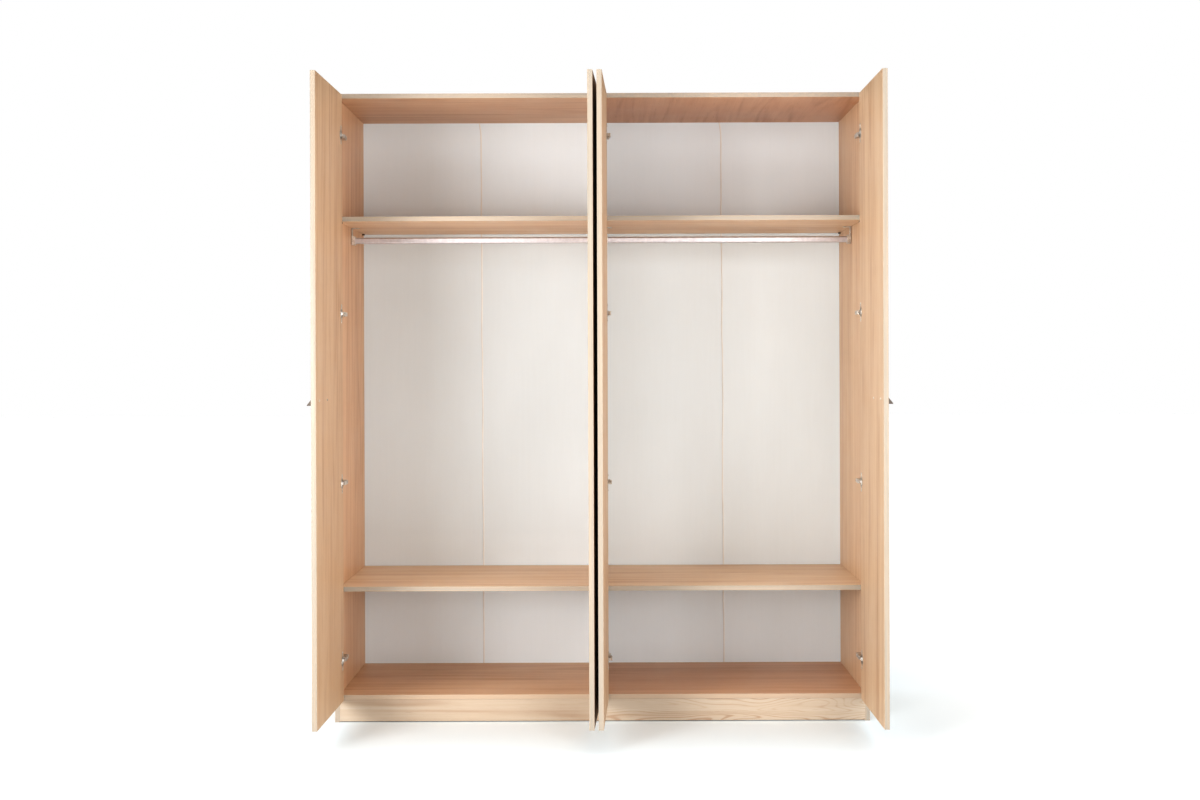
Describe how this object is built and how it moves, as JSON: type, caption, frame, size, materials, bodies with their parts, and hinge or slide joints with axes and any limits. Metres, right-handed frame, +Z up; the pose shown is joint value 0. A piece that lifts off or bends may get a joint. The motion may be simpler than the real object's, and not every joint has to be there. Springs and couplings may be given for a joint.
{
  "type": "wardrobe",
  "caption": "Wide free-standing wardrobe in two bays with shelves, hanging rails and swinging doors on concealed hinges.",
  "frame": {"origin": "on the floor under the middle of the centre partition", "axes": "+X to the right, +Y to the back, +Z up, seen from the doors"},
  "size_m": [1.8173, 1.016, 2.115],
  "materials": {
    "oak_decor": "pale oak wood-grain laminate, satin",
    "backing_board": "off-white lacquered hardboard, soft sheen",
    "nickel_steel": "nickel-plated pressed steel",
    "aluminium": "satin anodised",
    "dark_bronze": "dark bronze paint, satin"
  },
  "bodies": {
    "carcass": {"back_panel_left": "backing_board", "back_panel_right": "backing_board", "bottom_panel_left": "oak_decor", "bottom_panel_right": "oak_decor", "centre_hinge_arms_1": "nickel_steel", "centre_hinge_arms_2": "nickel_steel", "centre_hinge_arms_3": "nickel_steel", "centre_hinge_arms_4": "nickel_steel", "centre_partition": "oak_decor", "door_1_hinge_arm_1": "nickel_steel", "door_1_hinge_arm_2": "nickel_steel", "door_1_hinge_arm_3": "nickel_steel", "door_1_hinge_arm_4": "nickel_steel", "door_4_hinge_arm_1": "nickel_steel", "door_4_hinge_arm_2": "nickel_steel", "door_4_hinge_arm_3": "nickel_steel", "door_4_hinge_arm_4": "nickel_steel", "hanging_rail_left": "aluminium", "hanging_rail_right": "aluminium", "lower_shelf_left": "oak_decor", "lower_shelf_right": "oak_decor", "plinth_left": "oak_decor", "plinth_right": "oak_decor", "rail_bracket_left_bay_left": "nickel_steel", "rail_bracket_left_bay_right": "nickel_steel", "rail_bracket_right_bay_left": "nickel_steel", "rail_bracket_right_bay_right": "nickel_steel", "side_panel_left": "oak_decor", "side_panel_right": "oak_decor", "top_panel_left": "oak_decor", "top_panel_right": "oak_decor", "upper_shelf_left": "oak_decor", "upper_shelf_right": "oak_decor"},
    "door_1_links": {"door_1_hinge_link": "nickel_steel"},
    "door_1": {"door_1": "oak_decor", "door_1_hinge_cup_1": "nickel_steel", "door_1_hinge_cup_2": "nickel_steel", "door_1_hinge_cup_3": "nickel_steel", "door_1_hinge_cup_4": "nickel_steel", "door_1_pull": "dark_bronze"},
    "door_2_links": {"door_2_hinge_link": "nickel_steel"},
    "door_2": {"door_2": "oak_decor", "door_2_hinge_cup_1": "nickel_steel", "door_2_hinge_cup_2": "nickel_steel", "door_2_hinge_cup_3": "nickel_steel", "door_2_hinge_cup_4": "nickel_steel"},
    "door_3_links": {"door_3_hinge_link": "nickel_steel"},
    "door_3": {"door_3": "oak_decor", "door_3_hinge_cup_1": "nickel_steel", "door_3_hinge_cup_2": "nickel_steel", "door_3_hinge_cup_3": "nickel_steel", "door_3_hinge_cup_4": "nickel_steel"},
    "door_4_links": {"door_4_hinge_link": "nickel_steel"},
    "door_4": {"door_4": "oak_decor", "door_4_hinge_cup_1": "nickel_steel", "door_4_hinge_cup_2": "nickel_steel", "door_4_hinge_cup_3": "nickel_steel", "door_4_hinge_cup_4": "nickel_steel", "door_4_pull": "dark_bronze"}
  },
  "joints": [
    {"name": "door_1_link_turn", "type": "hinge", "parent": "carcass", "child": "door_1_links", "pos_m": [-0.86627, -0.2817, 1.374], "axis": [0, 0, 1], "range_deg": [-57.25, 2.53]},
    {"name": "door_1_swing", "type": "hinge", "parent": "door_1_links", "child": "door_1", "pos_m": [-0.87269, -0.30127, 1.374], "axis": [0, 0, -1], "range_deg": [-148.23, 6.52]},
    {"name": "door_2_link_turn", "type": "hinge", "parent": "carcass", "child": "door_2_links", "pos_m": [-0.03121, -0.283, 1.374], "axis": [0, 0, -1], "range_deg": [-32.93, 0]},
    {"name": "door_2_swing", "type": "hinge", "parent": "door_2_links", "child": "door_2", "pos_m": [-0.01636, -0.29726, 1.374], "axis": [0, 0, 1], "range_deg": [-120.42, 0]},
    {"name": "door_3_link_turn", "type": "hinge", "parent": "carcass", "child": "door_3_links", "pos_m": [0.03121, -0.283, 1.374], "axis": [0, 0, 1], "range_deg": [-34.62, 0]},
    {"name": "door_3_swing", "type": "hinge", "parent": "door_3_links", "child": "door_3", "pos_m": [0.01679, -0.29769, 1.374], "axis": [0, 0, -1], "range_deg": [-126.61, 0]},
    {"name": "door_4_link_turn", "type": "hinge", "parent": "carcass", "child": "door_4_links", "pos_m": [0.86627, -0.2817, 1.374], "axis": [0, 0, -1], "range_deg": [-56.62, 3.16]},
    {"name": "door_4_swing", "type": "hinge", "parent": "door_4_links", "child": "door_4", "pos_m": [0.8729, -0.3012, 1.374], "axis": [0, 0, 1], "range_deg": [-146.6, 8.14]}
  ],
  "couplings": [
    {"joint": "door_1_link_turn", "follows": "door_1_swing", "ratio": 0.38609},
    {"joint": "door_2_link_turn", "follows": "door_2_swing", "ratio": 0.27334},
    {"joint": "door_3_link_turn", "follows": "door_3_swing", "ratio": 0.27334},
    {"joint": "door_4_link_turn", "follows": "door_4_swing", "ratio": 0.38609}
  ]
}
